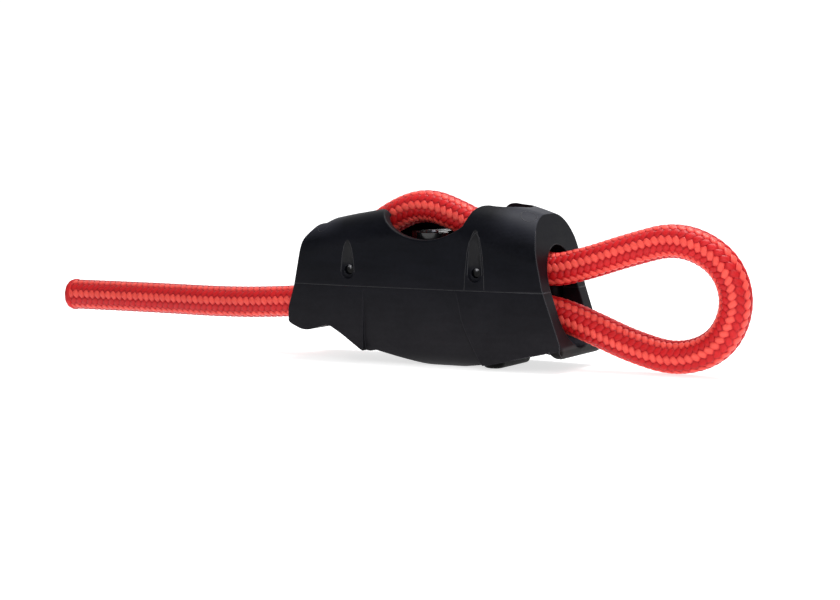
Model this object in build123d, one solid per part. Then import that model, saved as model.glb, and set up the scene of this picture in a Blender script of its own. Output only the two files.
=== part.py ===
from build123d import *
import math
import os

# Rope clutch: a two-part moulded body that grips a rope between two toothed cams.
# The rope's fixed end is held in the belly, its middle makes a loop at the +X end,
# passes back through the body, arches up through the window and leaves at the -X end.
# Millimetres. X runs along the body towards the loop, Z is up, Y=0 is the mirror plane,
# and Z=0 is the surface that the belly rests on.

os.makedirs("parts", exist_ok=True)

# ---- driving dimensions ----
ROPE_D = 10.0
ROPE_R = ROPE_D / 2
WALL = 2.8
SPLIT_Z = 23.8              # parting plane between the two casing halves
BODY_HALF_LENGTH = 46.9
HALF_WIDTH = 17.7           # at the middle of the body
BELLY_RADIUS = 9.0          # lower corner of the section along the belly
COLLAR_RADIUS = 4.0         # lower corner of the section at both ends
PANEL_DRAFT = 1.0           # how far the belly's sides lean in below the parting plane
LIP_BOTTOM = 4.2            # underside of the lip round the loop end
LIP_RADIUS = 4.0
FOOT_LEFT = 18.6            # the foot across the body under its loop end
FOOT_RIGHT = 25.6
FOOT_HALF_WIDTH = 11.8

SCOOP_RADIUS = 20.0         # round bottom of the window cut through both side walls
SCOOP_X = 2.4
SCOOP_Z = 58.6
SCOOP_START = 222.0         # where the round bottom starts and how far round it goes, in degrees
SCOOP_SWEEP = 84.0
RIM_RADIUS = 0.6            # rounding along the lowest part of the window's outer rim
SLOT_HALF_WIDTH = 9.5       # window seen from above
SLOT_LEFT = -30.5
SLOT_RIGHT = 30.0

PIN_R = 1.5
ROLLER_R = 2.6
TAIL_PIN = (-24.0, 28.7)
LOOP_PIN = (19.6, 29.1)
PIN_HALF_LENGTH = 15.6
ROLLER_HALF_LENGTH = 9.0
PIN_BOSS_R = 3.6
PIN_BOSS_INNER = 10.2
HOOD_R = 2.4                # grooves in the side walls over the pins' ends
HOOD_DEPTH = 1.9
HOODS = ((TAIL_PIN, 9.6), (LOOP_PIN, 13.4))

CAM_X = 1.0
CAM_Y = 9.0
CAM_BOTTOM = 31.6
CAM_TOP = 40.5
CAM_HUB_R = 4.9
CAM_FACE_GAP = 0.3          # from the mirror plane to the nearest tooth tip
CAM_GROWTH = math.tan(math.radians(25))
BUSH_R = 2.8
POST_R = 2.0
RUNNING = 0.05
CLIP_Z = CAM_TOP - 0.45
CLIP_THICK = 0.5

BASE_TOP = 31.0
BASE_THICK = 3.0
BASE_LEFT = -16.8
BASE_RIGHT = 14.0
BASE_SCREW_X = (-14.2, 11.2)
BASE_SCREW_Y = 11.4
BASE_SHANK_R = 0.9
BASE_HEAD_R = 1.7
BASE_SHANK_LENGTH = 7.6

CASE_SCREW_AT = ((-35.5, 11.2), (31.5, 12.2))
CASE_SEAT_Z = 13.4
CASE_SHANK_R = 1.25
CASE_HEAD_R = 2.2
CASE_SHANK_LENGTH = 18.0

KEEPER_X = 9.6
KEEPER_THICK = 2.0
FERRULE_R = 7.0
FERRULE_LENGTH = 10.6

MOUTH_HALF_WIDTH = 10.0     # opening for the two legs of the loop
MOUTH_BOTTOM = 6.6
MOUTH_TOP = 37.4
TAIL_HOLE_Z = 18.2
TAIL_HOLE_R = 6.3

# The rope's route in the mirror plane, from its fixed end to its tail.
ROPE_ROUTE = [
    (-1.5, 13.4), (11.5, 14.4), (24.5, 17.5), (37.0, 17.4), (49.5, 13.4), (63.0, 7.9),
    (78.2, 4.3), (91.3, 9.3), (96.7, 22.0), (91.8, 34.4), (77.9, 40.7),
    (62.0, 36.4), (47.5, 31.6), (35.0, 28.9), (22.6, 36.9),
    (7.0, 44.8), (-6.0, 49.2), (-19.4, 43.7), (-31.0, 33.5), (-40.0, 17.8),
    (-58.5, 16.1), (-79.0, 15.2), (-110.0, 15.4), (-140.8, 15.3),
]
ROPE_SIDEWAYS = {-79.0: -0.4, -110.0: 0.5}


def box_between(x0, x1, y0, y1, z0, z1):
    size = (x1 - x0, y1 - y0, z1 - z0)
    centre = ((x0 + x1) / 2, (y0 + y1) / 2, (z0 + z1) / 2)
    return Pos(*centre) * Box(*size)


def upright(radius, x, y, z0, z1):
    return Pos(x, y, (z0 + z1) / 2) * Cylinder(radius, z1 - z0)


def across(radius, x, z, y0, y1):
    return Pos(x, (y0 + y1) / 2, z) * Rot(90, 0, 0) * Cylinder(radius, y1 - y0)


def both_sides(shape):
    return [shape, shape.mirror(Plane.XZ)]


# ---- body form ----
def section(x, half_width, bottom, top, bottom_radius, top_radius, draft):
    """The body cut across at x: rounded corners, sides that lean in below the parting plane."""
    w, b, t, rb, rt = half_width, bottom, top, bottom_radius, top_radius
    low = w - draft
    plane = Plane(origin=(x, 0, 0), x_dir=(0, 1, 0), z_dir=(1, 0, 0))
    s = math.sqrt(0.5)
    edges = [
        Line((-low + rb, b), (low - rb, b)),
        ThreePointArc((low - rb, b), (low - rb + rb * s, b + rb - rb * s), (low, b + rb)),
        Line((low, b + rb), (w, SPLIT_Z)),
        Line((w, SPLIT_Z), (w, t - rt)),
        ThreePointArc((w, t - rt), (w - rt + rt * s, t - rt + rt * s), (w - rt, t)),
        Line((w - rt, t), (-w + rt, t)),
        ThreePointArc((-w + rt, t), (-w + rt - rt * s, t - rt + rt * s), (-w, t - rt)),
        Line((-w, t - rt), (-w, SPLIT_Z)),
        Line((-w, SPLIT_Z), (-low, b + rb)),
        ThreePointArc((-low, b + rb), (-low + rb - rb * s, b + rb - rb * s), (-low + rb, b)),
    ]
    return plane * make_face(edges)


# station x, half width, top height, top corner radius
STATIONS = [
    (-52.0, 15.4, 39.6, 9.0), (-36.0, 16.8, 43.4, 9.0), (-18.0, 17.5, 47.0, 9.5),
    (4.0, HALF_WIDTH, 50.0, 10.5), (22.0, 17.2, 49.9, 12.5), (36.0, 16.2, 46.6, 13.5),
    (52.0, 14.8, 42.6, 13.5),
]


def body_loft(inset, bottom, bottom_radius, draft):
    """The body's form, drawn in by inset, down to bottom."""
    sections = []
    for x, half_width, top, top_radius in STATIONS:
        sections.append(section(
            x, half_width - inset, bottom, top - inset,
            max(bottom_radius - inset, 1.5), top_radius - inset, draft,
        ))
    return loft(sections)


def side_prism(points, radii, half_width=30.0):
    """A closed outline in the XZ plane, rounded at its corners and carried across the body."""
    wire = FilletPolyline(*points, radius=radii, close=True)
    face = Plane.XZ * make_face(wire.edges())
    return extrude(face, half_width, both=True)


END_OUTLINE = [
    (-BODY_HALF_LENGTH, 13.4), (-43.9, 23.2), (-41.0, 37.6), (-37.2, 42.2), (-34.2, 42.7), (-32.2, 44.2),
    (0.0, 56.4), (30.0, 54.0), (36.0, 47.2), (38.1, 39.2), (41.0, 24.7), (BODY_HALF_LENGTH, 7.8),
    (BODY_HALF_LENGTH, LIP_BOTTOM), (44.6, LIP_BOTTOM), (43.2, 6.1), (24.0, 1.7),
    (12.0, 0.0), (1.0, 0.0), (-15.0, 4.2), (-18.4, 3.6), (-26.3, 8.8), (-31.2, 11.5),
    (-40.0, 9.0), (-45.6, 11.3),
]
END_RADII = [
    2.0, 12.0, 6.0, 3.0, 1.0, 1.5, 20.0, 4.0, 3.0, 9.0, 12.0, 1.0, 1.2, 1.0, 1.5, 12.0,
    12.0, 16.0, 1.5, 4.5, 12.0, 3.5, 8.0, 2.5,
]


def plan_prism(inset=0.0):
    """The body seen from above: straight ends with rounded corners."""
    length = 2 * (BODY_HALF_LENGTH - inset)
    outline = RectangleRounded(length, 2 * (HALF_WIDTH + 0.2 - inset), 4.4 - inset / 2)
    return extrude(outline, 70)


def outer_form():
    prism = side_prism(END_OUTLINE, END_RADII) & plan_prism()
    ends = body_loft(0.0, -0.6, COLLAR_RADIUS, 0.0)
    belly = body_loft(0.0, -0.1, BELLY_RADIUS, PANEL_DRAFT)
    panel = side_prism(
        [(-18.6, 24.5), (-18.6, -6.0), (26.0, -6.0), (19.6, 5.6), (15.4, 14.0), (13.2, 24.5)],
        [3.0, 0.5, 0.5, 14.0, 18.0, 3.0],
    )
    formed = ((ends - panel) + (belly & panel)) & prism
    return formed - outside_lip() + foot()


def foot():
    """The rounded bar across the underside that the loop end rests on."""
    length = FOOT_RIGHT - FOOT_LEFT
    outline = RectangleRounded(length, 2 * FOOT_HALF_WIDTH, length * 0.46)
    bar = Pos((FOOT_LEFT + FOOT_RIGHT) / 2, 0, 0) * extrude(outline, 5.0)
    return fillet(bar.faces().sort_by(Axis.Z)[0].edges(), 1.6)


def outside_lip():
    """What is cut away under the loop end's lip to round its lower corners."""
    start = 43.3
    plane = Plane(origin=(start, 0, 0), x_dir=(0, 1, 0), z_dir=(1, 0, 0))
    half_width = 15.8
    height = 60.0
    kept = plane * Pos(0, LIP_BOTTOM + height / 2) * RectangleRounded(2 * half_width, height, LIP_RADIUS)
    return box_between(start, start + 6, -20, 20, 0, 30) - extrude(kept, 8)


def cavity():
    """The hollow inside the body, from the tail end wall to the loop end wall."""
    inside = body_loft(WALL, 2.6, 10.0, 0.4)
    room = side_prism(
        [(-42.6, 12.0), (-41.2, 26.0), (-38.4, 35.6), (-34.8, 39.6), (-4.0, 60.0), (22.0, 60.0),
         (28.0, 44.0), (34.2, 38.7), (36.0, 24.2), (38.6, 9.0), (33.8, 7.6), (24.0, 4.5), (10.0, 2.7),
         (-1.0, 2.6), (-18.0, 6.6), (-22.4, 9.2), (-29.0, 13.6), (-36.0, 12.6)],
        [1.0, 4.0, 2.0, 2.0, 2.0, 2.0, 2.0, 2.0, 3.0, 2.0, 2.0, 6.0, 3.0, 6.0, 3.0, 3.0, 3.0, 2.0],
    )
    return inside & room & plan_prism(WALL)


def scoop_outline():
    """Side view of the scoop: straight-sided to the left, steeper to the right, round below."""
    steps = 3
    step = math.radians(SCOOP_SWEEP) / steps
    start = math.radians(SCOOP_START)
    corner_reach = SCOOP_RADIUS / math.cos(step / 2)
    low = []
    for i in range(steps):
        angle = start + step * (i + 0.5)
        low.append((SCOOP_X + corner_reach * math.cos(angle), SCOOP_Z + corner_reach * math.sin(angle)))
    left = [(-26.0, 70.0), (-26.0, 46.5), (-14.7, 47.7)]
    right = [(15.0, 43.0), (17.4, 49.0), (30.0, 49.6), (30.0, 70.0)]
    return left + low + right, [1.0, 1.0, 4.5] + [SCOOP_RADIUS] * steps + [1.0, 3.5, 1.0, 1.0]


def window():
    """The scoop through both side walls, and the slot in the roof that the rope rises from."""
    scoop = side_prism(*scoop_outline())
    length = SLOT_RIGHT - SLOT_LEFT
    slot = extrude(SlotOverall(length, 2 * SLOT_HALF_WIDTH), 30)
    return [scoop, Pos((SLOT_LEFT + SLOT_RIGHT) / 2, 0, 36.0) * slot]


def mouth():
    """The tall opening with round ends for both legs of the loop."""
    height = MOUTH_TOP - MOUTH_BOTTOM
    middle = (MOUTH_TOP + MOUTH_BOTTOM) / 2
    plane = Plane(origin=(30, 0, middle), x_dir=(0, 0, 1), z_dir=(1, 0, 0))
    return extrude(plane * SlotOverall(height, 2 * MOUTH_HALF_WIDTH), 25)


def tail_hole():
    hole = Pos(-44, 0, TAIL_HOLE_Z) * Rot(0, 90, 0) * Cylinder(TAIL_HOLE_R, 12)
    outside = Pos(-47.0, 0, TAIL_HOLE_Z) * Rot(0, 90, 0) * Cone(TAIL_HOLE_R + 1.8, TAIL_HOLE_R, 3.2)
    inside = Pos(-41.0, 0, TAIL_HOLE_Z + 1.0) * Rot(0, 90, 0) * Cone(TAIL_HOLE_R, TAIL_HOLE_R + 1.8, 4.0)
    return [hole, outside, inside]


def pin_hood(x, z, rise):
    """The tapering groove over the end of a cross pin: deep at the pin, running out above it."""
    lean = math.degrees(math.atan2(HOOD_DEPTH, rise))
    length = math.hypot(HOOD_DEPTH, rise)
    cutter = Cylinder(HOOD_R, length, align=(Align.CENTER, Align.CENTER, Align.MIN))
    cutter = cutter + Sphere(HOOD_R)
    return Pos(x, -HALF_WIDTH + HOOD_DEPTH - HOOD_R, z - 0.6) * Rot(lean, 0, 0) * cutter


def casing_cuts():
    cuts = [cavity()] + window() + [mouth()] + tail_hole()
    for (x, z), rise in HOODS:
        cuts += both_sides(pin_hood(x, z, rise))
    return cuts


def casing_halves():
    shell = outer_form()
    for cut in casing_cuts():
        shell = shell - cut
    above = box_between(-80, 80, -40, 40, SPLIT_Z, 90)
    below = box_between(-80, 80, -40, 40, -20, SPLIT_Z)
    return shell & above, shell & below


def upper_inside(form):
    """Bosses inside the upper half: pin seats, cleat posts and screw towers."""
    parts = []
    for x, z in (TAIL_PIN, LOOP_PIN):
        parts += both_sides(across(PIN_BOSS_R, x, z, PIN_BOSS_INNER, 16.4))
        for web in both_sides(box_between(x - 1.2, x + 1.2, PIN_BOSS_INNER, 16.4, SPLIT_Z, z)):
            parts.append(web)
    for x in BASE_SCREW_X:
        parts += both_sides(box_between(x - 2.2, x + 2.2, BASE_SCREW_Y - 2.2, 16.6, BASE_TOP, 37.0))
    for x, y in CASE_SCREW_AT:
        parts += both_sides(upright(3.0, x, y, SPLIT_Z, 34.0))
    solid = parts[0]
    for piece in parts[1:]:
        solid = solid + piece
    return solid & form


def lower_inside(form):
    """Bosses in the lower half: screw towers and the two ribs that the keeper stands in."""
    parts = []
    for x, y in CASE_SCREW_AT:
        parts += both_sides(upright(3.4, x, y, 2.0, SPLIT_Z))
    rib = box_between(KEEPER_X + KEEPER_THICK + 0.1, KEEPER_X + KEEPER_THICK + 3.1, -16, 16, 1.5, 21.4)
    rib = rib - box_between(0, 30, -5.7, 5.7, 8.6, 40)
    parts.append(rib)
    parts += both_sides(box_between(KEEPER_X - 2.1, KEEPER_X - 0.1, 9.0, 16, 1.5, 21.4))
    solid = parts[0]
    for piece in parts[1:]:
        solid = solid + piece
    return solid & form


# ---- fixed end of the rope ----
def first_run():
    (x0, z0), (x1, z1) = ROPE_ROUTE[0], ROPE_ROUTE[1]
    return Vector(x1 - x0, 0, z1 - z0).normalized()


def make_ferrule():
    """A swaged cup over the rope's end, with two crimp grooves."""
    start = Vector(ROPE_ROUTE[0][0], 0, ROPE_ROUTE[0][1])
    plane = Plane(origin=start, x_dir=(0, 1, 0), z_dir=first_run())
    cup = extrude(plane * Circle(FERRULE_R), FERRULE_LENGTH - 1.8)
    cap = extrude(plane * Circle(FERRULE_R), -1.8)
    body = cup + cap
    for along in (2.2, 5.6):
        ring = Pos(0, 0, along) * Torus(FERRULE_R + 0.5, 1.1)
        body = body - plane.location * ring
    return body - extrude(plane * Circle(ROPE_R), FERRULE_LENGTH)


def make_keeper():
    plate = box_between(KEEPER_X, KEEPER_X + KEEPER_THICK, -12.2, 12.2, 4.8, 21.8)
    slot = box_between(KEEPER_X - 1, KEEPER_X + 4, -5.5, 5.5, 14.0, 30)
    round_end = Pos(KEEPER_X + 1, 0, 14.0) * Rot(0, 90, 0) * Cylinder(5.5, 8)
    corners = plate.edges().filter_by(Axis.X)
    return fillet(corners, 1.0) - slot - round_end


# ---- cross pins and rollers ----
def make_pin(x, z):
    pin = across(PIN_R, x, z, -PIN_HALF_LENGTH, PIN_HALF_LENGTH)
    return chamfer(pin.edges().filter_by(GeomType.CIRCLE), 0.3)


def make_roller(x, z):
    roller = across(ROLLER_R, x, z, -ROLLER_HALF_LENGTH, ROLLER_HALF_LENGTH)
    roller = chamfer(roller.edges().filter_by(GeomType.CIRCLE), 0.4)
    return roller - across(PIN_R + RUNNING, x, z, -20, 20)


def make_roller_washers(x, z):
    ring = across(ROLLER_R + 0.4, x, z, ROLLER_HALF_LENGTH + 0.15, ROLLER_HALF_LENGTH + 0.75)
    ring = ring - across(PIN_R + 0.02, x, z, 0, 20)
    return Compound(children=both_sides(ring))


# ---- cam cleat ----
def cam_radius(angle):
    """Spiral face: the radius at an angle from the line to the mirror plane, towards -X."""
    contact = math.radians(25)
    at_contact = (CAM_Y - CAM_FACE_GAP) / math.cos(contact)
    return at_contact * math.exp(CAM_GROWTH * (angle - contact))


def cam_outline():
    """Toothed spiral of the far cam round its pivot, closed by a smooth back."""
    first, last = math.radians(-38), math.radians(52)
    teeth = 9
    tooth_depth = 0.9
    points = []
    for i in range(2 * teeth + 1):
        angle = first + (last - first) * i / (2 * teeth)
        radius = cam_radius(angle) - (tooth_depth if i % 2 else 0.0)
        points.append((-radius * math.sin(angle), -radius * math.cos(angle)))
    tip = points[-1]
    back = [(tip[0] - 0.5, tip[1] + 1.6), (-7.0, -3.4), (-CAM_HUB_R, 0.4)]
    return points + back


def make_cam():
    face = make_face(Polyline(*cam_outline(), (CAM_HUB_R, 0.4), close=True))
    hub = Circle(CAM_HUB_R)
    cam = extrude(face + hub, CAM_TOP - CAM_BOTTOM)
    cam = cam - Pos(0, 0, 5) * Cylinder(BUSH_R, 30)
    pocket = Pos(0, 0, 1.3) * Cylinder(CAM_HUB_R - 0.6, 2.6) - Pos(0, 0, 1.3) * Cylinder(BUSH_R, 2.6)
    cam = cam - pocket
    dish = Pos(0, 0, CAM_TOP - CAM_BOTTOM) * Cylinder(CAM_HUB_R - 0.9, 1.2)
    cam = cam - dish
    return Pos(CAM_X, CAM_Y, CAM_BOTTOM) * cam


def make_bush():
    top = CAM_TOP - 0.6
    bush = upright(BUSH_R, CAM_X, CAM_Y, CAM_BOTTOM, top)
    return bush - upright(POST_R + RUNNING, CAM_X, CAM_Y, 0, 60)


def make_post():
    post = upright(POST_R, CAM_X, CAM_Y, BASE_TOP - BASE_THICK - 0.8, CAM_TOP + 0.7)
    head = upright(3.2, CAM_X, CAM_Y, BASE_TOP - BASE_THICK - 1.2, BASE_TOP - BASE_THICK)
    post = chamfer(post.edges().filter_by(GeomType.CIRCLE).sort_by(Axis.Z)[-1], 0.4)
    groove = upright(POST_R + 1, CAM_X, CAM_Y, CLIP_Z, CLIP_Z + CLIP_THICK + 0.1)
    groove = groove - upright(POST_R - 0.4, CAM_X, CAM_Y, 0, 60)
    return post + head - groove


def make_clip():
    """An open retaining ring in the groove near the top of a post."""
    ring = upright(3.4, CAM_X, CAM_Y, CLIP_Z, CLIP_Z + CLIP_THICK)
    ring = ring - upright(POST_R - 0.38, CAM_X, CAM_Y, 0, 60)
    gap = box_between(CAM_X, CAM_X + 6, CAM_Y - 1.3, CAM_Y + 1.3, CLIP_Z - 1, CLIP_Z + 2)
    return ring - gap


def make_cam_washer():
    ring = upright(4.2, CAM_X, CAM_Y, BASE_TOP, BASE_TOP + 0.5)
    return ring - upright(POST_R + 0.02, CAM_X, CAM_Y, 0, 60)


def make_spring():
    """Torsion spring round the bush, in the pocket on the cam's underside."""
    wire_r, radius, turns, pitch = 0.22, 3.55, 3, 0.6
    helix = Pos(CAM_X, CAM_Y, CAM_BOTTOM + 0.3) * Helix(pitch, pitch * turns, radius)
    profile = Plane(origin=helix @ 0, z_dir=helix % 0) * Circle(wire_r)
    return sweep(profile, path=helix, is_frenet=True)


def make_base():
    plate = box_between(BASE_LEFT, BASE_RIGHT, -13.6, 13.6, BASE_TOP - BASE_THICK, BASE_TOP)
    plate = fillet(plate.edges().filter_by(Axis.Z), 2.5)
    plate = chamfer(plate.faces().sort_by(Axis.Z)[0].edges(), 0.5)
    for y in (CAM_Y, -CAM_Y):
        plate = plate - upright(POST_R + 0.01, CAM_X, y, 0, 60)
    for x in BASE_SCREW_X:
        for y in (BASE_SCREW_Y, -BASE_SCREW_Y):
            plate = plate - upright(1.1, x, y, 0, 60)
    return plate


# ---- screws ----
def screw(x, y, seat_z, shank_r, head_r, head_height, length):
    """A pan-head screw driven upwards, its head below seat_z, with a cross recess."""
    head = upright(head_r, x, y, seat_z - head_height, seat_z)
    head = fillet(head.edges().filter_by(GeomType.CIRCLE).sort_by(Axis.Z)[0], head_height * 0.5)
    shank = upright(shank_r, x, y, seat_z, seat_z + length)
    shank = chamfer(shank.edges().filter_by(GeomType.CIRCLE).sort_by(Axis.Z)[-1], shank_r * 0.5)
    whole = head + shank
    bar = head_r * 1.1
    width = head_r * 0.26
    low = seat_z - head_height
    for span in ((bar, width), (width, bar)):
        whole = whole - box_between(
            x - span[0] / 2, x + span[0] / 2, y - span[1] / 2, y + span[1] / 2,
            low - 0.1, low + head_height * 0.6)
    return whole


def make_case_screws():
    screws = []
    for x, y in CASE_SCREW_AT:
        for side in (y, -y):
            screws.append(screw(x, side, CASE_SEAT_Z, CASE_SHANK_R, CASE_HEAD_R, 1.8, CASE_SHANK_LENGTH))
    return Compound(children=screws)


def make_base_screws():
    screws = []
    for x in BASE_SCREW_X:
        for y in (BASE_SCREW_Y, -BASE_SCREW_Y):
            screws.append(screw(x, y, BASE_TOP - BASE_THICK, BASE_SHANK_R, BASE_HEAD_R, 1.1, BASE_SHANK_LENGTH))
    return Compound(children=screws)


# ---- rope ----
def make_rope():
    points = [Vector(x, ROPE_SIDEWAYS.get(x, 0.0), z) for x, z in ROPE_ROUTE]
    radii = []
    for before, here, after in zip(points, points[1:], points[2:]):
        run_in, run_out = here - before, after - here
        half_turn = math.radians(run_in.get_angle(run_out)) / 2
        radii.append(0.45 * min(run_in.length, run_out.length) / math.tan(half_turn))
    path = FilletPolyline(*points, radius=radii)
    profile = Plane(origin=path @ 0, z_dir=path % 0) * Circle(ROPE_R)
    tube = sweep(profile, path=path)
    print("rope radii:", [round(r, 1) for r in radii])
    print("rope length:", round(path.length, 1), "volume:", round(tube.volume),
          "section times length:", round(math.pi * ROPE_R ** 2 * path.length),
          "lowest:", round(tube.bounding_box().min.Z, 2))
    return tube


# ---- build ----
def on_window_rim(edge):
    """Whether an edge follows the round bottom of the scoop on the outside of a side wall."""
    for share in (0.0, 0.3, 0.5, 0.7, 1.0):
        place = edge @ share
        off_circle = math.hypot(place.X - SCOOP_X, place.Z - SCOOP_Z) - SCOOP_RADIUS
        if abs(off_circle) > 0.02 or abs(place.Y) < 13.0 or place.Z > 48.0:
            return False
    return True


def make_casings():
    outer = outer_form()
    upper, lower = casing_halves()
    upper = upper.fillet(RIM_RADIUS, [edge for edge in upper.edges() if on_window_rim(edge)])
    upper = upper + upper_inside(outer)
    lower = lower + lower_inside(outer)
    for x, z in (TAIL_PIN, LOOP_PIN):
        upper = upper - across(PIN_R + 0.02, x, z, -30, 30)
    for x in BASE_SCREW_X:
        for hole in both_sides(upright(BASE_SHANK_R + 0.02, x, BASE_SCREW_Y, BASE_TOP - 1, BASE_TOP + 5.2)):
            upper = upper - hole
    for x, y in CASE_SCREW_AT:
        top = CASE_SEAT_Z + CASE_SHANK_LENGTH + 0.4
        for hole in both_sides(upright(CASE_SHANK_R + 0.02, x, y, CASE_SEAT_Z - 1, top)):
            upper = upper - hole
            lower = lower - hole
        for recess in both_sides(upright(CASE_HEAD_R + 0.2, x, y, -10, CASE_SEAT_Z)):
            lower = lower - recess
    return upper, lower


casing_upper, casing_lower = make_casings()
parts = {
    "casing_upper": casing_upper,
    "casing_lower": casing_lower,
    "case_screws": make_case_screws(),
    "cleat_base": make_base(),
    "cleat_screws": make_base_screws(),
    "tail_pin": make_pin(*TAIL_PIN),
    "loop_pin": make_pin(*LOOP_PIN),
    "tail_roller": make_roller(*TAIL_PIN),
    "loop_roller": make_roller(*LOOP_PIN),
    "tail_roller_washers": make_roller_washers(*TAIL_PIN),
    "loop_roller_washers": make_roller_washers(*LOOP_PIN),
    "rope_ferrule": make_ferrule(),
    "anchor_keeper": make_keeper(),
    "rope": make_rope(),
}
for name, shape in (
    ("cam", make_cam()),
    ("cam_bush", make_bush()),
    ("cam_post", make_post()),
    ("cam_clip", make_clip()),
    ("cam_washer", make_cam_washer()),
    ("cam_spring", make_spring()),
):
    parts[name + "_far"] = shape
    parts[name + "_near"] = shape.mirror(Plane.XZ)

for name, shape in parts.items():
    export_step(shape, f"parts/{name}.step")
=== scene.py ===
import math

import bmesh
import bpy
import numpy as np
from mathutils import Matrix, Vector
from mathutils.bvhtree import BVHTree


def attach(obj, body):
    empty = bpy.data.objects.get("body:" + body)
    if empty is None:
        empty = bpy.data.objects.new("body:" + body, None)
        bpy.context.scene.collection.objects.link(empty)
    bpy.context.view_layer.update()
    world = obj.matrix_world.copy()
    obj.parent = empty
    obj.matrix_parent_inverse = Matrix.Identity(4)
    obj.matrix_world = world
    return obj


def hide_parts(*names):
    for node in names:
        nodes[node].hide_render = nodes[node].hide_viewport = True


# The looks of a rope clutch: a matte black moulded body on a red braided rope.
# The frame is the CAD's: +X along the body towards the rope's loop, +Z up, and Y=0 the mirror
# plane. Blender works in metres; tables of places are in millimetres, turned by MM.

MM = 0.001
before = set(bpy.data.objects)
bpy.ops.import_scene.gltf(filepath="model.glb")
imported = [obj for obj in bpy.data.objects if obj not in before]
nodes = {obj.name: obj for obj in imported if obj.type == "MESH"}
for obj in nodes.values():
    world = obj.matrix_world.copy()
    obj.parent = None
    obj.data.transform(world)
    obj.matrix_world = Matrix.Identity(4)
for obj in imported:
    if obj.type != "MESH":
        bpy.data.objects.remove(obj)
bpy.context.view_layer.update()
rng = np.random.default_rng(7)

# The hoods are the grooves up the side walls over the cross pins' ends, in millimetres.
HOOD_R = 2.45
HOOD_DEPTH = 1.9
HOOD_BELOW_PIN = 0.6                # where a groove starts
HOOD_SEEN = 0.97                    # share of its rise over which a groove shows in the wall
HOODS = [                           # a name, its pin's x and z, and how far the groove rises
    ("hood_edge_tail", -24.0, 28.7, 9.6),
    ("hood_edge_loop", 19.6, 29.1, 13.4),
]


# ---- helpers ----
def mesh_object(name, vertices, faces):
    mesh = bpy.data.meshes.new(name)
    mesh.from_pydata([tuple(v) for v in vertices], [], [tuple(int(i) for i in f) for f in faces])
    mesh.polygons.foreach_set("use_smooth", [True] * len(mesh.polygons))
    mesh.update()
    piece = bpy.data.objects.new(name, mesh)
    bpy.context.scene.collection.objects.link(piece)
    return piece


def set_attribute(piece, name, values):
    attribute = piece.data.attributes.new(name, "FLOAT", "POINT")
    attribute.data.foreach_set("value", np.asarray(values, dtype=np.float32).ravel())


def unit_rows(vectors):
    return vectors / np.linalg.norm(vectors, axis=-1, keepdims=True)


def step_lengths(line):
    return np.linalg.norm(np.diff(line, axis=0), axis=1)


def distance_walked(line):
    """How far along the line each of its points is."""
    return np.concatenate([[0.0], np.cumsum(step_lengths(line))])


def tube_faces(rings, sides, first=0):
    """Faces of a closed tube whose points come ring by ring, with a cap on each end."""
    faces = []
    for ring in range(rings - 1):
        for k in range(sides):
            a = first + ring * sides + k
            b = first + ring * sides + (k + 1) % sides
            faces.append((a, b, b + sides, a + sides))
    last = first + (rings - 1) * sides
    faces.append(tuple(first + k for k in reversed(range(sides))))
    faces.append(tuple(last + k for k in range(sides)))
    return faces


# ---- materials ----
FOOT_SHADE_SLOPE = 0.229            # how steeply the edge of the foot's shade climbs along x
FOOT_SHADE_DROP = 3.86              # how far below z = 0 that edge is where x = 0, in millimetres


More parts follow.
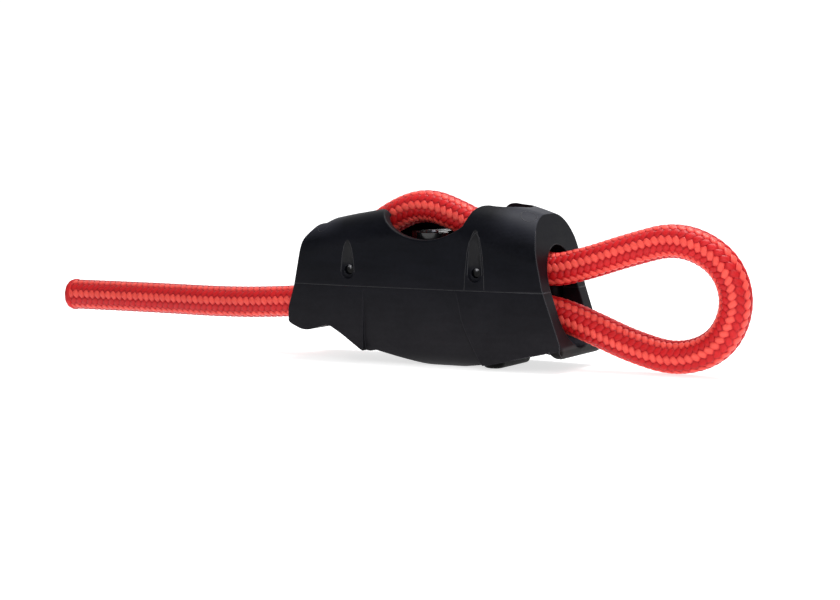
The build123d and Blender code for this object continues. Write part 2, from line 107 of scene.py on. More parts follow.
class Shader:
    """A Principled material whose colour, roughness and bump come from its nodes."""

    def __init__(self, name, **constants):
        self.material = bpy.data.materials.new(name)
        self.material.use_nodes = True
        self.tree = self.material.node_tree
        self.principled = self.tree.nodes["Principled BSDF"]
        for socket, value in constants.items():
            self.principled.inputs[socket.replace("_", " ")].default_value = value

    def node(self, kind, **settings):
        made = self.tree.nodes.new(kind)
        for key, value in settings.items():
            setattr(made, key, value)
        return made

    def link(self, source, target):
        self.tree.links.new(source, target)

    def object_position(self):
        return self.node("ShaderNodeTexCoord").outputs["Object"]

    def axes(self, vector):
        made = self.node("ShaderNodeSeparateXYZ")
        self.link(vector, made.inputs["Vector"])
        return [made.outputs[axis] for axis in "XYZ"]

    def attribute(self, name):
        return self.node("ShaderNodeAttribute", attribute_name=name).outputs["Fac"]

    def noise(self, position, scale, detail=3.0, roughness=0.55):
        made = self.node("ShaderNodeTexNoise")
        made.inputs["Scale"].default_value = scale
        made.inputs["Detail"].default_value = detail
        made.inputs["Roughness"].default_value = roughness
        self.link(position, made.inputs["Vector"])
        return made.outputs["Fac"]

    def stretched(self, position, scale):
        made = self.node("ShaderNodeMapping")
        made.inputs["Scale"].default_value = scale
        self.link(position, made.inputs["Vector"])
        return made.outputs["Vector"]

    def remap(self, value, low, high, to_low=0.0, to_high=1.0):
        made = self.node("ShaderNodeMapRange", clamp=True)
        made.inputs["From Min"].default_value = low
        made.inputs["From Max"].default_value = high
        made.inputs["To Min"].default_value = to_low
        made.inputs["To Max"].default_value = to_high
        self.link(value, made.inputs["Value"])
        return made.outputs["Result"]

    def math(self, operation, first, second):
        made = self.node("ShaderNodeMath", operation=operation)
        for socket, value in zip(made.inputs, (first, second)):
            if isinstance(value, (int, float)):
                socket.default_value = value
            else:
                self.link(value, socket)
        return made.outputs["Value"]

    def away_from(self, coordinate, place):
        """Distance of a coordinate from a place on its axis."""
        return self.math("ABSOLUTE", self.math("SUBTRACT", coordinate, place), 0.0)

    def ramp(self, value, stops):
        made = self.node("ShaderNodeValToRGB")
        elements = made.color_ramp.elements
        while len(elements) < len(stops):
            elements.new(0.5)
        for element, (place, colour) in zip(elements, stops):
            element.position = place
            element.color = (*colour, 1.0)
        self.link(value, made.inputs["Fac"])
        return made.outputs["Color"]

    def mix(self, factor, first, second, mode="MIX"):
        made = self.node("ShaderNodeMix", data_type="RGBA", blend_type=mode)
        sockets = made.inputs[0], made.inputs[6], made.inputs[7]    # factor and the colours A and B
        for socket, value in zip(sockets, (factor, first, second)):
            if isinstance(value, tuple):
                socket.default_value = (*value, 1.0)
            elif isinstance(value, (int, float)):
                socket.default_value = value
            else:
                self.link(value, socket)
        return made.outputs[2]

    def bump(self, height, strength, distance, after=None):
        made = self.node("ShaderNodeBump")
        made.inputs["Strength"].default_value = strength
        made.inputs["Distance"].default_value = distance
        self.link(height, made.inputs["Height"])
        if after is not None:
            self.link(after, made.inputs["Normal"])
        return made.outputs["Normal"]

    def finish(self, colour=None, roughness=None, normal=None):
        for value, socket in ((colour, "Base Color"), (roughness, "Roughness"), (normal, "Normal")):
            if value is not None:
                self.link(value, self.principled.inputs[socket])
        return self.material


def casing_tone(shader, at, coarse):
    """Uneven grey of moulded plastic: broad clouds, flow lines along the body and a coarse grain."""
    broad = shader.noise(at, 70.0, 4.0)
    flow = shader.noise(shader.stretched(at, (60.0, 60.0, 420.0)), 1.0, 3.0)
    tone = shader.math("ADD", shader.math("MULTIPLY", broad, 0.45), shader.math("MULTIPLY", flow, 0.3))
    return shader.math("ADD", tone, shader.math("MULTIPLY", coarse, 0.25))


def paint_light_in_hood(shader, colour, x, z, pin_x, pin_z, rise):
    """Painted light on the sloping back of one hood's groove, which narrows upwards."""
    share = shader.remap(z, pin_z * MM, (pin_z + HOOD_SEEN * rise) * MM, 1.0, 0.0)
    half_width = shader.math("MULTIPLY", shader.math("POWER", share, 0.4), HOOD_R * MM)
    inside = shader.math("SUBTRACT", half_width, shader.away_from(x, pin_x * MM))
    inside = shader.remap(inside, 0.0, 0.3 * MM, 0.0, 0.85)
    above = shader.remap(z, (pin_z + 1.2) * MM, (pin_z + 2.6) * MM)
    return shader.mix(shader.math("MULTIPLY", inside, above), colour, (0.0135, 0.0135, 0.0145))


def painted_sheen_on_shoulders(shader, colour, x, normal):
    """Painted sheen on the upward faces near both ends of the body, standing in for the light they catch
    from above.
    """
    _, _, up = shader.axes(normal)
    faces_up = shader.remap(up, 0.35, 0.95)
    shoulder = shader.remap(shader.away_from(x, -2.0 * MM), 25.0 * MM, 31.0 * MM)
    return shader.mix(shader.math("MULTIPLY", faces_up, shoulder), colour, (0.022, 0.023, 0.032))


def shade_foot(shader, colour, x, z):
    """The foot is in shade below a line that climbs towards the loop."""
    top = shader.math("SUBTRACT", shader.math("MULTIPLY", x, FOOT_SHADE_SLOPE), FOOT_SHADE_DROP * MM)
    below = shader.remap(shader.math("SUBTRACT", top, z), 0.0, 0.2 * MM)
    return shader.mix(below, colour, (0.0003, 0.0003, 0.0004))


def paint_edge_highlights(shader, colour, x, y, flat_normal, round_normal):
    """Painted highlights on the edges, palest on the outer corners at the loop's end."""
    facing = shader.node("ShaderNodeVectorMath", operation="DOT_PRODUCT")
    shader.link(round_normal, facing.inputs[0])
    shader.link(flat_normal, facing.inputs[1])
    edge_highlight = shader.remap(facing.outputs["Value"], 0.97, 0.80, 0.0, 0.75)
    loop_end = shader.remap(x, 31.0 * MM, 34.0 * MM)
    outer_side = shader.remap(shader.away_from(y, 0.0), 11.8 * MM, 12.4 * MM)
    corner = shader.math("MULTIPLY", loop_end, outer_side)
    return shader.mix(edge_highlight, colour, shader.mix(corner, (0.026, 0.026, 0.032), (0.12, 0.12, 0.13)))


def casing_material():
    """Matte black moulded plastic, darker and bluer towards the top, its lower part painted lighter and
    warmer as a painted reflection of the floor.
    """
    shader = Shader("casing_black", Specular_IOR_Level=0.09)
    at = shader.object_position()
    x, y, z = shader.axes(at)
    coarse = shader.noise(at, 900.0, 3.0)
    tone = casing_tone(shader, at, coarse)
    # the lower ramp is lighter and warmer: a painted reflection of the floor
    upper = shader.ramp(tone, [(0.38, (0.0003, 0.0006, 0.0022)), (0.62, (0.0030, 0.0034, 0.0062))])
    lower = shader.ramp(tone, [(0.38, (0.0072, 0.0066, 0.0086)), (0.62, (0.0128, 0.0120, 0.0146))])
    colour = shader.mix(shader.remap(z, 8.0 * MM, 30.0 * MM), lower, upper)
    # painted light on the upward slope inside each hood groove
    for _, pin_x, pin_z, rise in HOODS:
        colour = paint_light_in_hood(shader, colour, x, z, pin_x, pin_z, rise)
    flat_normal = shader.node("ShaderNodeNewGeometry").outputs["True Normal"]
    # painted sheen on the upward faces at both ends
    colour = painted_sheen_on_shoulders(shader, colour, x, flat_normal)
    colour = shade_foot(shader, colour, x, z)
    edges = shader.node("ShaderNodeBevel", samples=6)
    edges.inputs["Radius"].default_value = 0.6 * MM
    round_normal = edges.outputs["Normal"]
    # painted highlights along the edges
    colour = paint_edge_highlights(shader, colour, x, y, flat_normal, round_normal)
    roughness = shader.remap(tone, 0.3, 0.7, 0.38, 0.56)
    normal = shader.bump(coarse, 0.25, 0.04 * MM, round_normal)
    normal = shader.bump(shader.noise(at, 2600.0, 2.0), 0.35, 0.03 * MM, normal)
    return shader.finish(colour, roughness, normal)


def pin_material():
    """Black pin ends deep in their holes: a rough speck of light on the upper part, shade below."""
    shader = Shader("pin_black", Specular_IOR_Level=0.2)
    at = shader.object_position()
    x, _, z = shader.axes(at)
    rough_end = shader.noise(at, 1400.0, 4.0)
    (_, tail_x, tail_z, _), (_, loop_x, loop_z, _) = HOODS
    from_tail = shader.math("SUBTRACT", x, tail_x * MM)
    from_loop = shader.away_from(x, loop_x * MM)
    aside = shader.math("MINIMUM", shader.math("ABSOLUTE", from_tail, 0.0), from_loop)
    pins_slope = (loop_z - tail_z) / (loop_x - tail_x)
    centre = shader.math("ADD", shader.math("MULTIPLY", from_tail, pins_slope), tail_z * MM)
    above = shader.math("SUBTRACT", z, centre)
    above = shader.math("SUBTRACT", above, shader.math("MULTIPLY", aside, 0.7))
    lit = shader.math("ADD", above, shader.math("MULTIPLY", rough_end, 2.0 * MM))
    black, grey, pale = (0.0006, 0.0006, 0.0008), (0.02, 0.02, 0.022), (0.5, 0.5, 0.52)
    colour = shader.ramp(shader.remap(lit, 0.9 * MM, 2.0 * MM), [(0.0, black), (0.4, grey), (1.0, pale)])
    normal = shader.bump(rough_end, 0.6, 0.2 * MM)
    return shader.finish(colour, shader.remap(rough_end, 0.3, 0.7, 0.4, 0.6), normal)


def mark_material(name, low, high):
    """The slightly shinier skin of a line or ring that the mould leaves, in a grey that also serves as
    the painted highlight along the hood grooves' edges.
    """
    shader = Shader(name, Specular_IOR_Level=0.3)
    at = shader.object_position()
    clouds = shader.noise(at, 500.0, 3.0)
    colour = shader.ramp(clouds, [(0.35, low), (0.65, high)])
    normal = shader.bump(shader.noise(at, 3000.0, 2.0), 0.2, 0.02 * MM)
    return shader.finish(colour, shader.remap(clouds, 0.3, 0.7, 0.35, 0.5), normal)


def melted_material():
    """The rope's yarn melted into smooth red lumps."""
    shader = Shader("rope_melted_end", Specular_IOR_Level=0.22)
    at = shader.object_position()
    clouds = shader.noise(at, 450.0, 4.0)
    colour = shader.ramp(clouds, [(0.3, (0.34, 0.003, 0.006)), (0.7, (0.66, 0.022, 0.022))])
    normal = shader.bump(clouds, 0.5, 0.15 * MM)
    return shader.finish(colour, shader.remap(clouds, 0.3, 0.7, 0.4, 0.6), normal)


def gloss_cam_material():
    shader = Shader("cam_gloss", Specular_IOR_Level=0.6)
    at = shader.object_position()
    streak = shader.noise(shader.stretched(at, (300.0, 300.0, 40.0)), 1.0, 3.0)
    colour = shader.ramp(streak, [(0.35, (0.003, 0.003, 0.0035)), (0.7, (0.008, 0.008, 0.009))])
    roughness = shader.remap(streak, 0.3, 0.7, 0.16, 0.3)
    normal = shader.bump(shader.noise(at, 700.0, 3.0), 0.2, 0.05 * MM)
    return shader.finish(colour, roughness, normal)


def metal_material(name, low, high, roughness, stretch=(40.0, 900.0, 900.0)):
    """Turned or brushed metal: fine lines along one direction and small tarnish clouds."""
    shader = Shader(name, Metallic=1.0)
    at = shader.object_position()
    lines = shader.noise(shader.stretched(at, stretch), 1.0, 4.0)
    clouds = shader.noise(at, 160.0, 4.0)
    tone = shader.math("ADD", shader.math("MULTIPLY", lines, 0.5), shader.math("MULTIPLY", clouds, 0.5))
    colour = shader.ramp(tone, [(0.35, low), (0.65, high)])
    rough = shader.remap(tone, 0.3, 0.7, roughness[0], roughness[1])
    normal = shader.bump(lines, 0.25, 0.03 * MM)
    return shader.finish(colour, rough, normal)


def plastic_material(name, low, high, roughness):
    shader = Shader(name, Specular_IOR_Level=0.4)
    at = shader.object_position()
    clouds = shader.noise(at, 220.0, 4.0)
    colour = shader.ramp(clouds, [(0.35, low), (0.65, high)])
    rough = shader.remap(clouds, 0.3, 0.7, roughness[0], roughness[1])
    normal = shader.bump(shader.noise(at, 1500.0, 2.0), 0.25, 0.03 * MM)
    return shader.finish(colour, rough, normal)


def rope_material(name, dark, middle, bright, roughness):
    """Polyester yarn with fibres along it: painted shade, deep red, where a strand dives under and a
    painted highlight where it rises on top.
    """
    shader = Shader(name, Specular_IOR_Level=0.24, Sheen_Weight=0.03, Sheen_Roughness=0.35)
    shader.principled.inputs["Sheen Tint"].default_value = (1.0, 0.35, 0.3, 1.0)
    rise = shader.attribute("rise")
    shade = shader.attribute("shade")
    across = shader.attribute("across")
    along = shader.attribute("along")
    fibre_at = shader.node("ShaderNodeCombineXYZ")
    shader.link(shader.math("MULTIPLY", across, 9.0), fibre_at.inputs["X"])
    shader.link(shader.math("MULTIPLY", along, 0.9), fibre_at.inputs["Y"])
    shader.link(shader.math("MULTIPLY", shade, 31.0), fibre_at.inputs["Z"])
    fibre = shader.noise(fibre_at.outputs["Vector"], 1.0, 3.0)
    # painted shade and highlight: darker where a strand dives under, brighter where it rises on top
    lit = shader.ramp(rise, [(0.25, dark), (0.72, middle), (0.98, bright)])
    fleck = shader.ramp(fibre, [(0.3, (0.74, 0.6, 0.6)), (0.7, (1.15, 1.3, 1.25))])
    colour = shader.mix(0.5, lit, fleck, "MULTIPLY")
    tint = shader.ramp(shade, [(0.0, (0.88, 0.82, 0.82)), (1.0, (1.06, 1.1, 1.05))])
    colour = shader.mix(0.6, colour, tint, "MULTIPLY")
    x, _, _ = shader.axes(shader.object_position())
    # painted shade: the tail is painted darker away from the body
    painted_tail_shade = shader.remap(x, -45.0 * MM, -75.0 * MM, 0.0, 0.18)
    colour = shader.mix(painted_tail_shade, colour, (0.02, 0.0, 0.0))
    rough = shader.remap(fibre, 0.3, 0.7, roughness[0], roughness[1])
    normal = shader.bump(fibre, 0.4, 0.05 * MM)
    return shader.finish(colour, rough, normal)


def core_material():
    shader = Shader("rope_core_red")
    at = shader.object_position()
    clouds = shader.noise(at, 900.0, 3.0)
    colour = shader.ramp(clouds, [(0.3, (0.08, 0.0, 0.002)), (0.7, (0.16, 0.001, 0.004))])
    rough = shader.remap(clouds, 0.3, 0.7, 0.6, 0.8)
    return shader.finish(colour, rough, shader.bump(clouds, 0.3, 0.1 * MM))


# ---- camera and stage ----
CAMERA_AZIMUTH = math.radians(28.01)        # from square on to the near side, towards the loop
CAMERA_ELEVATION = math.radians(5.01)
CAMERA_DISTANCE = 678.86 * MM
CAMERA_TARGET = Vector((-7.98, 0.0, 18.7)) * MM
CAMERA_LENS = 93.45
CAMERA_SENSOR = 36.0
FLOOR_HALF_SIZE = 6.0
GLOW_FROM, GLOW_TO = 0.12, 0.6              # distances between which the floor's glow rises
BACKDROP_WAY = (-0.47, 0.88, 0.0)           # from the clutch, away from the camera
BACKDROP_EDGE, BACKDROP_FULL = 0.55, 0.92   # cosines of the angle to that way
ROOM_STRENGTH, BACKDROP_STRENGTH = 0.42, 1.06
LIGHTS = [                                  # name, place, target, size and watts, in metres
    ("key_above", (0.11, 0.10, 0.50), (0.03, 0.0, 0.02), (0.32, 0.3), 2.7),
    ("fill_front", (0.36, -0.62, 0.42), (0.02, 0.0, 0.02), (0.45, 0.36), 1.8),
]


def make_camera():
    level = math.cos(CAMERA_ELEVATION)
    back = Vector((
        math.sin(CAMERA_AZIMUTH) * level, -math.cos(CAMERA_AZIMUTH) * level, math.sin(CAMERA_ELEVATION),
    ))
    data = bpy.data.cameras.new("camera")
    data.lens = CAMERA_LENS
    data.sensor_width = CAMERA_SENSOR
    data.clip_start = 10.0 * MM
    camera = bpy.data.objects.new("camera", data)
    camera.location = CAMERA_TARGET + CAMERA_DISTANCE * back
    camera.rotation_mode = "QUATERNION"
    camera.rotation_quaternion = (-back).to_track_quat("-Z", "Y")
    bpy.context.scene.collection.objects.link(camera)
    bpy.context.scene.camera = camera


def floor_material():
    """White sweep: it glows a little, and more with distance, so that it meets the backdrop unseen."""
    shader = Shader("floor_white", Specular_IOR_Level=0.0)
    at = shader.object_position()
    clouds = shader.noise(at, 6.0, 2.0)
    colour = shader.ramp(clouds, [(0.3, (0.62, 0.62, 0.625)), (0.7, (0.64, 0.64, 0.642))])
    away = shader.node("ShaderNodeVectorMath", operation="LENGTH")
    shader.link(at, away.inputs[0])
    glow = shader.remap(away.outputs["Value"], GLOW_FROM, GLOW_TO, 0.70, 1.0)
    shader.principled.inputs["Emission Color"].default_value = (1.0, 1.0, 1.0, 1.0)
    shader.link(glow, shader.principled.inputs["Emission Strength"])
    return shader.finish(colour, shader.remap(clouds, 0.3, 0.7, 0.8, 0.9))


def make_floor():
    grid = bmesh.new()
    bmesh.ops.create_grid(grid, x_segments=24, y_segments=24, size=FLOOR_HALF_SIZE)
    mesh = bpy.data.meshes.new("floor")
    grid.to_mesh(mesh)
    grid.free()
    floor = bpy.data.objects.new("floor", mesh)
    bpy.context.scene.collection.objects.link(floor)
    floor.data.materials.append(floor_material())


def area_light(name, place, target, size, watts):
    data = bpy.data.lights.new(name, "AREA")
    data.shape = "RECTANGLE"
    data.size, data.size_y = size
    data.energy = watts
    light = bpy.data.objects.new(name, data)
    light.location = place
    light.rotation_mode = "QUATERNION"
    light.rotation_quaternion = (Vector(target) - Vector(place)).to_track_quat("-Z", "Y")
    bpy.context.scene.collection.objects.link(light)


def make_world():
    """A white backdrop behind the clutch, and a dimmer room everywhere else."""
    world = bpy.data.worlds.new("studio")
    world.use_nodes = True
    tree = world.node_tree
    direction = tree.nodes.new("ShaderNodeTexCoord").outputs["Generated"]
    facing = tree.nodes.new("ShaderNodeVectorMath")
    facing.operation = "DOT_PRODUCT"
    facing.inputs[1].default_value = BACKDROP_WAY
    fade = tree.nodes.new("ShaderNodeMapRange")
    fade.inputs["From Min"].default_value = BACKDROP_EDGE
    fade.inputs["From Max"].default_value = BACKDROP_FULL
    fade.inputs["To Min"].default_value = ROOM_STRENGTH
    fade.inputs["To Max"].default_value = BACKDROP_STRENGTH
    tree.links.new(direction, facing.inputs[0])
    tree.links.new(facing.outputs["Value"], fade.inputs["Value"])
    tree.links.new(fade.outputs["Result"], tree.nodes["Background"].inputs["Strength"])
    tree.nodes["Background"].inputs["Color"].default_value = (1.0, 1.0, 1.0, 1.0)
    bpy.context.scene.world = world


def make_lights():
    make_world()
    for light in LIGHTS:
        area_light(*light)
    bpy.context.scene.view_settings.view_transform = "Standard"


# ---- rope ----
ROPE_ROUTE = [
    (-1.5, 13.4), (11.5, 14.4), (24.5, 17.5), (37.0, 17.4), (49.5, 13.4), (63.0, 7.9),
    (78.2, 4.3), (91.3, 9.3), (96.7, 22.0), (91.8, 34.4), (77.9, 40.7),
    (62.0, 36.4), (47.5, 31.6), (35.0, 28.9), (22.6, 36.9),
    (7.0, 44.8), (-6.0, 49.2), (-19.4, 43.7), (-31.0, 33.5), (-40.0, 17.8),
    (-58.5, 16.1), (-79.0, 15.2), (-110.0, 15.4), (-140.8, 15.3),
]
ROPE_SIDEWAYS = {-79.0: -0.4, -110.0: 0.5}
ROPE_D = 10.0 * MM
STRANDS = 12                        # strands that turn each way round the rope
STITCH = 2.2 * MM                   # from one stitch to the next along the rope
LAY_LENGTH = STITCH * STRANDS       # one turn of a strand
STRAND_HALF_WIDTH = 1.06 * MM
STRAND_HALF_THICK = 0.34 * MM
STRAND_RISE = 0.30 * MM             # how far a strand rises and dives as it goes over and under
STRAND_SECTION = [                  # offsets sideways and outwards, in half widths and half thicknesses
    (-1.0, -0.1), (-0.84, 0.66), (-0.36, 0.98), (0.36, 0.98),
    (0.84, 0.66), (1.0, -0.1), (0.5, -0.9), (-0.5, -0.9),
]
CROSSING_SHARPNESS = 1.8            # how quickly a strand changes between over and under
WIDTH_WANDER = 0.05                 # share by which a strand's width wanders along the rope
STEPS_PER_STITCH = 6
PATH_STEPS = 1600
CORE_R = 4.0 * MM
CORE_STEP = 0.8 * MM
CORE_INSET = 0.3 * MM               # how far before the path's end the core stops
SEALED_END_RINGS = [                # how far past the path's end, and radius, in millimetres
    (-1.3, 4.8), (-1.0, 5.1), (0.2, 5.12), (0.8, 4.8), (1.15, 4.0), (1.3, 2.6), (1.34, 1.0),
]


def rope_line():
    """Points along the rope's smooth middle line, read from the route's NURBS spline."""
    data = bpy.data.curves.new("rope_route", "CURVE")
    data.dimensions = "3D"
    spline = data.splines.new("NURBS")
    spline.points.add(len(ROPE_ROUTE) - 1)
    for point, (x, z) in zip(spline.points, ROPE_ROUTE):
        point.co = (x * MM, ROPE_SIDEWAYS.get(x, 0.0) * MM, z * MM, 1.0)
    spline.order_u = 3
    spline.use_endpoint_u = True
    spline.resolution_u = 32
    curve = bpy.data.objects.new("rope_route", data)
    bpy.context.scene.collection.objects.link(curve)
    mesh = bpy.data.meshes.new_from_object(curve)
    line = np.array([tuple(v.co) for v in mesh.vertices])
    bpy.data.meshes.remove(mesh)
    bpy.data.objects.remove(curve)
    bpy.data.curves.remove(data)
    return line


class RopePath:
    """The middle line with a frame that doesn't twist, to place points by distance, turn and radius."""

    def __init__(self, line):
        apart = np.concatenate([[True], step_lengths(line) > 1e-7])
        line = line[apart]
        walked = distance_walked(line)
        self.length = walked[-1]
        self.at = np.linspace(0.0, self.length, PATH_STEPS)
        self.middle = np.stack([np.interp(self.at, walked, line[:, k]) for k in range(3)], axis=1)
        self.forward = unit_rows(np.gradient(self.middle, self.at, axis=0))
        self.side = unit_rows(np.array([0.0, 1.0, 0.0]) - self.forward * self.forward[:, 1:2])
        self.up = np.cross(self.forward, self.side)

    def _read(self, table, distance):
        return np.stack([np.interp(distance, self.at, table[:, k]) for k in range(3)], axis=-1)

    def place(self, distance, turn, radius):
        """Points round the rope; past the path's ends it goes straight on."""
        inside = np.clip(distance, 0.0, self.length)
        middle = self._read(self.middle, inside)
        middle = middle + self._read(self.forward, inside) * (distance - inside)[..., None]
        out = self._read(self.side, inside) * np.cos(turn)[..., None]
        out = out + self._read(self.up, inside) * np.sin(turn)[..., None]
        return middle + out * radius[..., None]


def braid(path, name, way):
    """All strands that turn one way, each passing over two and under two of the others."""
    steps = int(path.length / STITCH * STEPS_PER_STITCH)
    along = np.linspace(0.0, path.length, steps)
    turn_rate = 2 * math.pi / LAY_LENGTH
    mean_radius = ROPE_D / 2 - STRAND_RISE - STRAND_HALF_THICK
    helix_angle = math.atan(turn_rate * mean_radius)
    section = np.array(STRAND_SECTION)
    count = len(section)
    vertices, faces, rise, shade, across, lengthwise = [], [], [], [], [], []
    for strand in range(STRANDS):
        crossing = 2 * strand + way * 2 * STRANDS * along / LAY_LENGTH
        phase = (crossing - (0.5 if way > 0 else 2.5)) * math.pi / 2
        lift = np.tanh(CROSSING_SHARPNESS * np.cos(phase)) / math.tanh(CROSSING_SHARPNESS)
        turn = way * turn_rate * along + 2 * math.pi * strand / STRANDS
        wander = WIDTH_WANDER * np.sin(along / (LAY_LENGTH * 0.37) + strand * 2.1)
        width = STRAND_HALF_WIDTH * (0.86 + 0.14 * lift) * (1.0 + wander)
        sideways = width[:, None] * section[None, :, 0]
        outward = STRAND_HALF_THICK * (0.94 + 0.06 * lift)[:, None] * section[None, :, 1]
        radius = mean_radius + STRAND_RISE * lift[:, None] + outward
        distance = along[:, None] - way * sideways * math.sin(helix_angle)
        angle = turn[:, None] + sideways * math.cos(helix_angle) / mean_radius
        vertices.append(path.place(distance, angle, radius).reshape(-1, 3))
        faces += tube_faces(steps, count, strand * steps * count)
        outer = (radius - (mean_radius - STRAND_RISE)) / (2 * STRAND_RISE + STRAND_HALF_THICK)
        rise.append(np.clip(outer, 0.0, 1.0).ravel())
        shade.append(np.full(steps * count, rng.random()))
        across.append(np.broadcast_to(section[None, :, 0], (steps, count)).ravel())
        lengthwise.append(np.broadcast_to(along[:, None] / MM, (steps, count)).ravel())
    piece = mesh_object(name, np.concatenate(vertices), faces)
    set_attribute(piece, "rise", np.concatenate(rise))
    set_attribute(piece, "shade", np.concatenate(shade))
    set_attribute(piece, "across", np.concatenate(across))
    set_attribute(piece, "along", np.concatenate(lengthwise))
    return piece


def rope_core(path):
    """What shows between the strands: a plain tube that ends inside the melted cap."""
    sides = 24
    end = path.length - CORE_INSET
    steps = int(end / CORE_STEP)
    along = np.linspace(0.0, end, steps)[:, None] * np.ones((1, sides))
    turn = np.broadcast_to(np.arange(sides) * 2 * math.pi / sides, (steps, sides))
    points = path.place(along, turn, np.full((steps, sides), CORE_R)).reshape(-1, 3)
    core = mesh_object("rope_core", points, tube_faces(steps, sides))
    core.data.materials.append(core_material())
    return core


def make_rope():
    path = RopePath(rope_line())
    right_hand = braid(path, "rope_strands_right", 1)
    left_hand = braid(path, "rope_strands_left", -1)
    # lit and shaded copies of one red yarn: the right-hand strands are painted brighter and the
    # left-hand ones darker, painted light for how light catches each direction
    right_hand.data.materials.append(rope_material(
        "rope_red_right_painted_lit", (0.18, 0.0, 0.003), (0.56, 0.007, 0.012), (0.92, 0.092, 0.072), (0.3, 0.44)))
    left_hand.data.materials.append(rope_material(
        "rope_red_left_painted_shade", (0.12, 0.0, 0.002), (0.38, 0.001, 0.006), (0.60, 0.010, 0.013), (0.36, 0.5)))
    core = rope_core(path)
    for piece in (right_hand, left_hand, core):
        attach(piece, "body")
    sealed_end = make_rope_end(path)
    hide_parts("rope")


def make_rope_end(path):
    """The cut tail, melted into a smooth cap with a slightly swollen rim."""
    sides = 40
    turn = np.arange(sides) * 2 * math.pi / sides
    ripple = 1.0 + 0.012 * np.sin(turn * 12.0) + 0.008 * np.sin(turn * 5.0 + 1.0)
    vertices = []
    for ahead, radius in SEALED_END_RINGS:
        distance = np.full(sides, path.length + ahead * MM)
        vertices.append(path.place(distance, turn, radius * ripple * MM))
    cap = mesh_object("rope_sealed_end", np.concatenate(vertices), tube_faces(len(vertices), sides))
    cap.data.materials.append(melted_material())
    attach(cap, "body")
    return cap


# ---- marks that moulding leaves on the casing, and beads with painted highlights along the hood grooves' edges ----
# Rays find the casing's surface. They start outside it and are too short to reach a surface
# on its far side. Places here are in millimetres.
BEAD_R = 0.09
BEAD_FLATNESS = 0.6                 # height over width
BEAD_STEP = 0.35
RUN_BREAK = 1.0                     # hits further apart than this belong to two runs
RAY_START = {"side": 30.0, "end": 60.0, "top": 80.0}
RAY_REACH = {"side": 19.5, "end": 30.0, "top": 60.0}
CASING_HALF_LENGTH = 46.8
PARTING_Z = 23.8
PARTING_ENDS = [(-1.0, 6.6, 15.0), (1.0, 10.4, 15.4)]       # which end, and |y| from and to
RING_POINTS = 49
MARK_RINGS = [                      # on the top: name, x, y and radius
    ("mould_ring_loop_end", 33.4, -8.6, 2.4),
    ("mould_ring_tail_end", -34.5, -13.2, 1.9),
]
WITNESS_STEP = 0.3
WITNESS_LINE = [                    # round the hood over the loop pin, as (x, z)
    (16.2, 23.9), (16.3, 26.4), (16.6, 30.2), (17.1, 35.0), (17.8, 38.4), (19.7, 41.2),
    (21.1, 39.8), (21.8, 36.6), (22.2, 33.3), (22.5, 28.9), (22.7, 23.9),
]


def casing_surface():
    """A tree over both casing halves, to drop marks onto."""
    vertices, faces = [], []
    for name in ("casing_upper", "casing_lower"):
        node = nodes[name]
        first = len(vertices)
        vertices += [node.matrix_world @ v.co for v in node.data.vertices]
        faces += [[first + i for i in face.vertices] for face in node.data.polygons]
    return BVHTree.FromPolygons(vertices, faces)


def bead(name, runs, material):
    """A fine half-sunk bead along each run of (point, surface normal)."""
    sides = 6
    angle = (np.arange(sides) * 2 * math.pi / sides)[None, :, None]
    vertices, faces = [], []
    for run in runs:
        if len(run) < 3:
            continue
        points = np.array([tuple(point) for point, _ in run])
        normals = unit_rows(np.array([tuple(normal) for _, normal in run]))
        beside = unit_rows(np.cross(normals, np.gradient(points, axis=0)))
        out = np.cos(angle) * beside[:, None] + BEAD_FLATNESS * np.sin(angle) * normals[:, None]
        faces += tube_faces(len(points), sides, sum(len(block) for block in vertices))
        vertices.append((points[:, None] + BEAD_R * MM * out).reshape(-1, 3))
    piece = mesh_object(name, np.concatenate(vertices), faces)
    piece.data.materials.append(material)
    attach(piece, "body")


def drop_runs(tree, starts, direction, reach):
    """Hits of rays from each start, split into runs where the surface is missing or steps away."""
    runs, run, last = [], [], None
    for start in starts:
        point, normal, _, _ = tree.ray_cast(Vector(start) * MM, Vector(direction), reach * MM)
        broken = point is None or (last is not None and (point - last).length > RUN_BREAK * MM)
        if broken and run:
            runs.append(run)
            run = []
        if point is not None:
            run.append((point, normal))
        last = point
    return runs + [run]


def side_runs(tree, side, places):
    """Runs on one side wall over places given as (x, z)."""
    starts = [(x, side * RAY_START["side"], z) for x, z in places]
    return drop_runs(tree, starts, (0.0, -side, 0.0), RAY_REACH["side"])


def end_runs(tree, side, end, inner, outer):
    """The parting line's run on one end wall, from the rope's opening to the corner."""
    starts = [(end * RAY_START["end"], side * y, PARTING_Z) for y in np.arange(inner, outer, BEAD_STEP)]
    return drop_runs(tree, starts, (-end, 0.0, 0.0), RAY_REACH["end"])


def hood_outline(x, z, rise):
    """Both edges of a hood's groove up the side wall, as (x, z) points."""
    left, right = [], []
    for share in np.linspace(0.0, HOOD_SEEN, 30):
        sunk = HOOD_DEPTH * (1.0 - share)
        half_width = math.sqrt(HOOD_R ** 2 - (HOOD_R - sunk) ** 2)
        height = z - HOOD_BELOW_PIN + share * rise
        left.append((x - half_width, height))
        right.append((x + half_width, height))
    return left, right


def witness_line():
    """The line that an insert in the mould leaves, as closely spaced (x, z) points."""
    line = np.array(WITNESS_LINE)
    walked = distance_walked(line)
    steps = np.arange(0.0, walked[-1], WITNESS_STEP)
    return list(zip(np.interp(steps, walked, line[:, 0]), np.interp(steps, walked, line[:, 1])))


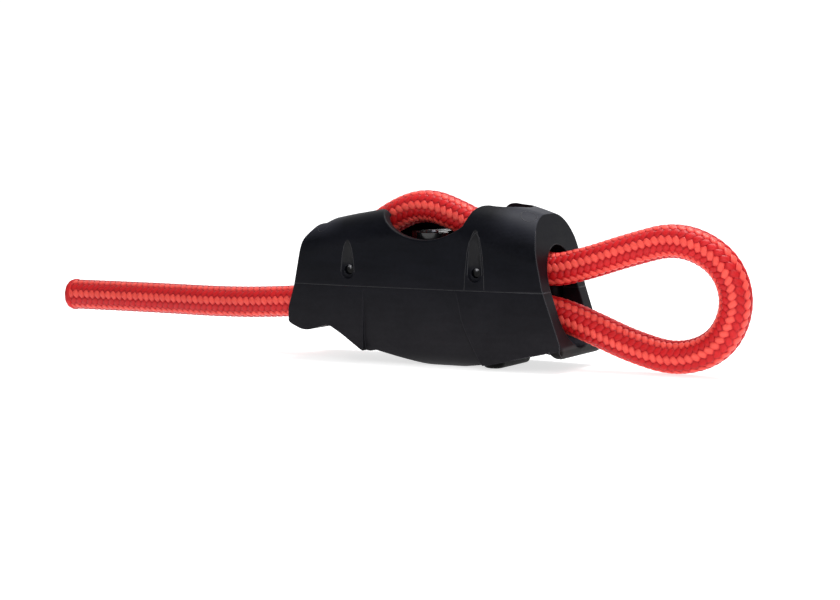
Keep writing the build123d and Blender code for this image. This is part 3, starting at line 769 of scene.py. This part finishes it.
def make_marks():
    tree = casing_surface()
    line = mark_material("mould_line_and_edge_highlight_grey", (0.012, 0.012, 0.014), (0.024, 0.024, 0.027))
    ring = mark_material("mould_ring_dark", (0.006, 0.006, 0.009), (0.012, 0.012, 0.017))
    along = np.arange(-CASING_HALF_LENGTH, CASING_HALF_LENGTH, BEAD_STEP)
    for side, side_name in ((-1.0, "near"), (1.0, "far")):
        parting = side_runs(tree, side, [(x, PARTING_Z) for x in along])
        for end, inner, outer in PARTING_ENDS:
            parting += end_runs(tree, side, end, inner, outer)
        bead("mould_line_" + side_name, parting, line)
        bead("insert_line_" + side_name, side_runs(tree, side, witness_line()), line)
        # the beads round the hood grooves take the lighter line grey: painted highlights along the
        # grooves' edges
        for hood_name, x, z, rise in HOODS:
            left, right = hood_outline(x, z, rise)
            edges = side_runs(tree, side, left) + side_runs(tree, side, right)
            bead(hood_name + "_" + side_name, edges, line)
    for ring_name, x, y, radius in MARK_RINGS:
        turns = np.linspace(0.0, 2 * math.pi, RING_POINTS)
        starts = [(x + radius * math.cos(t), y + radius * math.sin(t), RAY_START["top"]) for t in turns]
        bead(ring_name, drop_runs(tree, starts, (0.0, 0.0, -1.0), RAY_REACH["top"]), ring)


# ---- materials of the CAD nodes ----
def dress(material, *names):
    for name in names:
        node = nodes[name]
        node.data.materials.clear()
        node.data.materials.append(material)


def dress_nodes():
    dress(casing_material(), "casing_upper", "casing_lower")
    dress(gloss_cam_material(), "cam_near", "cam_far")
    dress(plastic_material("roller_black", (0.012, 0.012, 0.013), (0.02, 0.02, 0.022), (0.35, 0.5)),
          "tail_roller", "loop_roller")
    dress(plastic_material("acetal_natural", (0.62, 0.61, 0.56), (0.72, 0.71, 0.66), (0.35, 0.5)),
          "cam_bush_near", "cam_bush_far", "tail_roller_washers", "loop_roller_washers",
          "cam_washer_near", "cam_washer_far")
    dress(pin_material(), "tail_pin", "loop_pin")
    dress(metal_material("plate_steel", (0.42, 0.42, 0.43), (0.6, 0.6, 0.62), (0.28, 0.4)),
          "cleat_base", "anchor_keeper")
    dress(metal_material("ferrule_aluminium", (0.5, 0.51, 0.53), (0.72, 0.73, 0.75), (0.3, 0.45)),
          "rope_ferrule")
    small_steel = metal_material(
        "small_steel", (0.45, 0.45, 0.46), (0.66, 0.66, 0.67), (0.2, 0.35), stretch=(500.0, 500.0, 60.0))
    dress(small_steel, "case_screws", "cleat_screws", "cam_spring_near", "cam_spring_far")
    dress(metal_material("blackened_steel", (0.012, 0.012, 0.014), (0.035, 0.035, 0.04), (0.18, 0.32)),
          "cam_post_near", "cam_post_far", "cam_clip_near", "cam_clip_far")


make_camera()
make_floor()
make_lights()
make_rope()
make_marks()
dress_nodes()
